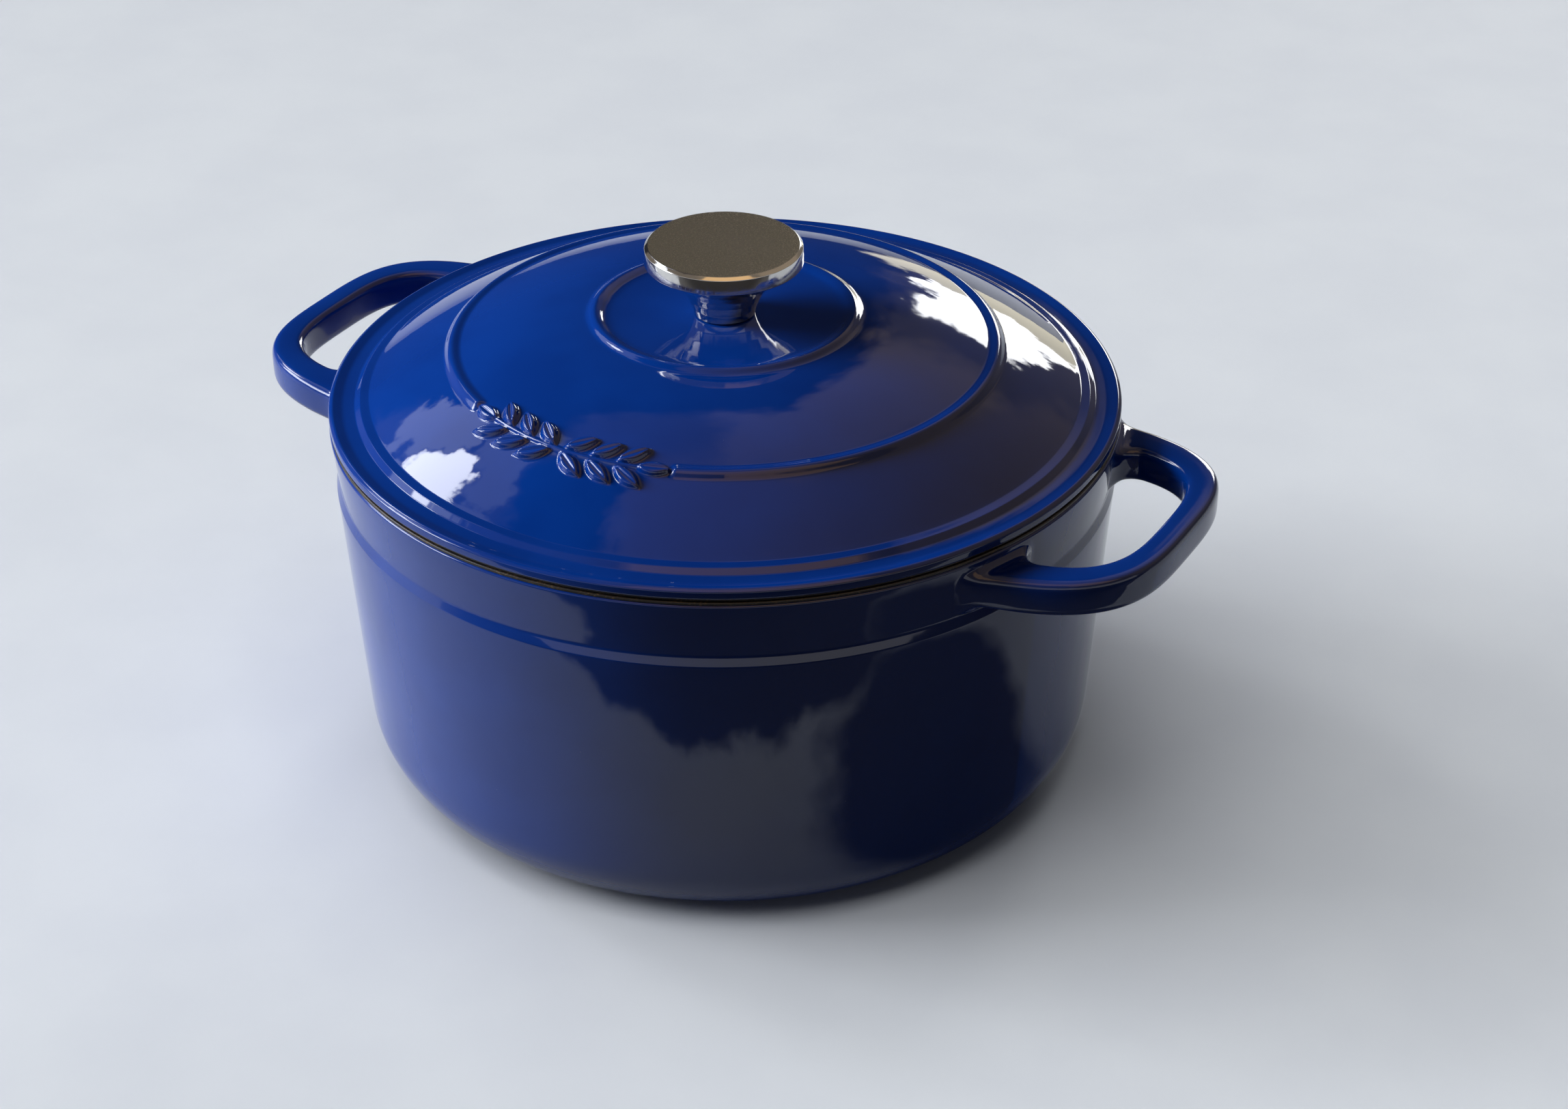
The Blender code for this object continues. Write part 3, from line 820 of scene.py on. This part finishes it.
LIGHTS_AIM = 0.15            # height on the oven's axis that the lights face


def softbox(name, azimuth, elevation, distance, width, height, radiance, colour):
    """Rectangular light that faces the oven from the given side, and that no gloss mirrors."""
    data = bpy.data.lights.new(name, "AREA")
    data.shape = "RECTANGLE"
    data.size, data.size_y = width, height
    data.energy = radiance * width * height * math.pi
    data.color = colour
    light = bpy.data.objects.new(name, data)
    bpy.context.scene.collection.objects.link(light)
    direction = towards(azimuth, elevation)
    light.location = UP * LIGHTS_AIM + direction * distance
    light.rotation_mode = "QUATERNION"
    light.rotation_quaternion = (-direction).to_track_quat("-Z", "Y")
    light.visible_camera = light.visible_glossy = False
    return light


def receivers(name, table, state):
    """Light-linking set that either takes in the table alone or leaves only the table out."""
    linked = bpy.data.collections.new(name)
    linked.objects.link(table)
    linked.collection_objects[0].light_linking.link_state = state
    return linked


def lights(table):
    """Two windows for the oven and an even light for the table. The gloss mirrors ROOM instead."""
    window = softbox("left_window", -77.0, 19.0, 3.0, 1.3, 1.5, 27.5, (0.94, 0.97, 1.0))
    back = softbox("back_window", 18.5, 10.0, 2.4, 0.54, 0.9, 5.0, (1.0, 1.0, 0.96))
    fill = softbox("table_fill", -100.0, 70.0, 2.4, 3.2, 3.2, 2.2, (0.96, 0.98, 1.0))
    everything_else = receivers("all_but_the_table", table, "EXCLUDE")
    window.light_linking.receiver_collection = everything_else
    back.light_linking.receiver_collection = everything_else
    fill.light_linking.receiver_collection = receivers("only_the_table", table, "INCLUDE")


# ---------------------------------------------------------------- room
DAYLIGHT = (13.0, 13.4, 14.0)
LAMPLIGHT = (1.0, 0.64, 0.32)
PALE_WALL = (0.8, 0.8, 0.84)

# What the gloss sees of the room: azimuths from and to, elevations from and to, softness, colour.
# A later patch covers the earlier ones.
ROOM_BASE = (0.2, 0.17, 0.14)
ROOM = (
    (-180.0, 180.0, 72.0, 95.0, 10.0, (0.37, 0.29, 0.21)),        # ceiling
    (2.0, 36.0, 34.0, 68.0, 8.0, (0.48, 0.38, 0.29)),             # wall above the back window
    (40.0, 100.0, 24.0, 68.0, 8.0, (0.34, 0.27, 0.2)),            # wall on the right
    (-36.0, 7.0, -10.0, 50.0, 5.0, (0.03, 0.03, 0.035)),          # dark corner behind the oven
    (-95.0, -36.0, 57.0, 70.0, 4.0, (0.02, 0.02, 0.025)),         # dark strip above the left window
    (-100.0, -60.0, 10.0, 40.0, 2.0, (1.6, 1.7, 1.9)),            # frame and curtain of the left window
    (-98.0, -67.0, 15.0, 32.0, 1.5, DAYLIGHT),                    # left window
    (-64.0, -36.0, 45.0, 53.0, 1.5, (0.75, 0.78, 0.95)),          # pale strip above the second window
    (-46.5, -37.5, 25.0, 41.5, 1.2, (1.3, 1.35, 1.55)),           # its curtain
    (-60.0, -48.5, 32.0, 43.0, 1.2, DAYLIGHT),                    # second window on the left
    (12.5, 26.0, 4.0, 20.5, 1.5, (9.0, 9.1, 9.2)),                # back window
    (8.0, 24.0, -2.0, 4.5, 1.5, (2.2, 2.05, 1.55)),               # its sill
    (110.0, 180.0, -3.0, 15.0, 4.0, PALE_WALL),                   # low wall behind the camera
    (-180.0, -110.0, -3.0, 15.0, 4.0, PALE_WALL),
    (120.0, 180.0, 46.0, 76.0, 8.0, LAMPLIGHT),                   # lamp behind the camera
    (-180.0, -135.0, 52.0, 76.0, 6.0, LAMPLIGHT),
)
ROOM_WOBBLE = 14.0           # degrees by which the edges of the patches wander
ROOM_SOFT_LIGHT = (0.045, 0.048, 0.052, 1.0)
ROOM_BEHIND_TABLE = (0.68, 0.7, 0.73, 1.0)


def world():
    """Room as the gloss sees it, and pale to the camera itself.

    Soft light that bounces out to the room finds one even tone. The light that surfaces sample
    from the world directly still comes from the bright patches.
    """
    made = bpy.data.worlds.new("room")
    bpy.context.scene.world = made
    made.use_nodes = True
    nodes = Nodes(made.node_tree)
    direction = nodes.node("ShaderNodeTexCoord").outputs["Generated"]
    cloudy = nodes.node("ShaderNodeTexNoise", Scale=9.0, Detail=4.0, Roughness=0.6).outputs["Fac"]
    wobble = nodes.maths("MULTIPLY", nodes.maths("SUBTRACT", cloudy, 0.5), ROOM_WOBBLE)
    to_degrees = 360.0 / TAU
    turn = nodes.maths("ARCTAN2", nodes.along(direction, RIGHT), nodes.along(direction, AWAY))
    azimuth = nodes.maths("ADD", nodes.maths("MULTIPLY", turn, to_degrees), wobble)
    rise = nodes.maths("ARCSINE", nodes.along(direction, UP), 0.0)
    elevation = nodes.maths("ADD", nodes.maths("MULTIPLY", rise, to_degrees), wobble)
    room = (*ROOM_BASE, 1.0)
    for left, right, bottom, top, soft, colour in ROOM:
        share = nodes.maths("MULTIPLY", nodes.inside(azimuth, left, right, soft),
                            nodes.inside(elevation, bottom, top, soft))
        room = nodes.mix(share, room, (*colour, 1.0))
    room = nodes.mix(nodes.ray("Is Diffuse Ray"), room, ROOM_SOFT_LIGHT)
    room = nodes.mix(nodes.ray("Is Camera Ray"), room, ROOM_BEHIND_TABLE)
    nodes.feed(nodes.tree.nodes["Background"].inputs["Color"], room)


# ---------------------------------------------------------------- table, in metres
TABLE_HALF_SIZE = 6.0
TABLE_PAINT = ((0.62, 0.64, 0.675, 1.0), (0.645, 0.665, 0.695, 1.0))
DARK_REFLECTION_LINE = -0.217         # line past which the table is painted dark for all but camera rays, measured away from the camera: a painted table edge in reflections
# Painted dark reflections: the table's colour past that line for all but camera rays, darkest far from
# it.
PAINTED_DARK_REFLECTION = (0.08, 0.077, 0.075, 1.0)
PAINTED_DARKEST_REFLECTION = (0.012, 0.012, 0.013, 1.0)
# Painted dark reflection: a round dark spot on the table right of the oven, seen by all but camera
# rays.
DARK_SPOT_RIGHT, DARK_SPOT_AWAY = 0.14, -0.14
DARK_SPOT_RADIUS = 0.085
EDGE_WANDER = 0.05           # distance by which the edges of both painted dark reflections wander
TABLE_BOUNCE = 0.12          # share of its paleness that the table shows to diffuse rays: painted shade, dimming the light it bounces onto the oven


def table_paint():
    """Pale paint to the camera. To all other rays it is painted dark past a line and in a round spot
    (painted dark reflections), and dimmer to diffuse rays (painted shade).
    """
    shader = Shader("pale_paint", TABLE_PAINT[0][:3], 0.6)
    shader.set("Specular IOR Level", 0.25)
    wander = shader.maths("SUBTRACT", shader.noise(50.0, 4.0), 0.5)
    wander = shader.maths("MULTIPLY", wander, EDGE_WANDER)
    across = shader.maths("ADD", shader.along(shader.place, RIGHT), wander)
    ahead = shader.maths("ADD", shader.along(shader.place, AWAY), wander)
    # Painted dark reflection: past the line the table turns dark for all but camera rays, standing in
    # for a table edge.
    short_of_line = shader.ramp(ahead, DARK_REFLECTION_LINE - 0.006, DARK_REFLECTION_LINE + 0.006)
    near_line = shader.ramp(ahead, DARK_REFLECTION_LINE - 0.18, DARK_REFLECTION_LINE - 0.03)
    painted_dark = shader.mix(near_line, PAINTED_DARKEST_REFLECTION, PAINTED_DARK_REFLECTION)

    # Painted dark reflection: the round dark spot, for all but camera rays.
    spot_across = shader.maths("SUBTRACT", across, DARK_SPOT_RIGHT)
    spot_ahead = shader.maths("SUBTRACT", ahead, DARK_SPOT_AWAY)
    squares = shader.maths("ADD", shader.maths("MULTIPLY", spot_across, spot_across),
                           shader.maths("MULTIPLY", spot_ahead, spot_ahead))
    from_spot = shader.maths("SQRT", squares, 0.0)
    off_spot = shader.ramp(from_spot, DARK_SPOT_RADIUS * 0.8, DARK_SPOT_RADIUS * 1.15)

    # Painted shade: diffuse rays see the table much dimmer, so it bounces less light onto the oven.
    bounce = shader.mix(shader.ray("Is Diffuse Ray"), (1.0, 1.0, 1.0, 1.0),
                        (TABLE_BOUNCE, TABLE_BOUNCE, TABLE_BOUNCE, 1.0))
    mirrored = shader.maths("MULTIPLY", shader.maths("MULTIPLY", short_of_line, off_spot), bounce)
    pale = shader.maths("MAXIMUM", mirrored, shader.ray("Is Camera Ray"))
    paint = shader.mix(shader.ramp(shader.noise(60.0, 4.0), 0.3, 0.7), *TABLE_PAINT)
    shader.set("Base Color", shader.mix(pale, painted_dark, paint))
    return shader.material


def floor():
    """Flat table top under the oven."""
    bm = bmesh.new()
    bmesh.ops.create_grid(bm, x_segments=8, y_segments=8, size=TABLE_HALF_SIZE)
    mesh = bpy.data.meshes.new("table_top")
    bm.to_mesh(mesh)
    bm.free()
    mesh.materials.append(table_paint())
    table = bpy.data.objects.new("table_top", mesh)
    bpy.context.scene.collection.objects.link(table)
    return table


# ---------------------------------------------------------------- the oven
def build_oven():
    """All the pieces, pot first and knob last."""
    blue, cream, black = blue_enamel(), cream_enamel(), rim_enamel()
    satin, polished = satin_steel(), polished_steel()
    pot_exterior(blue)
    pot_lining(cream)
    pot_rim(black)
    lid_exterior(blue)
    lid_lining(cream)
    lid_rim(black)
    knob_cap(satin, polished)
    knob_stem(polished)
    dress_fastening(polished)


build_oven()
world()
lights(floor())
make_camera()
bpy.context.scene.view_settings.view_transform = "Standard"
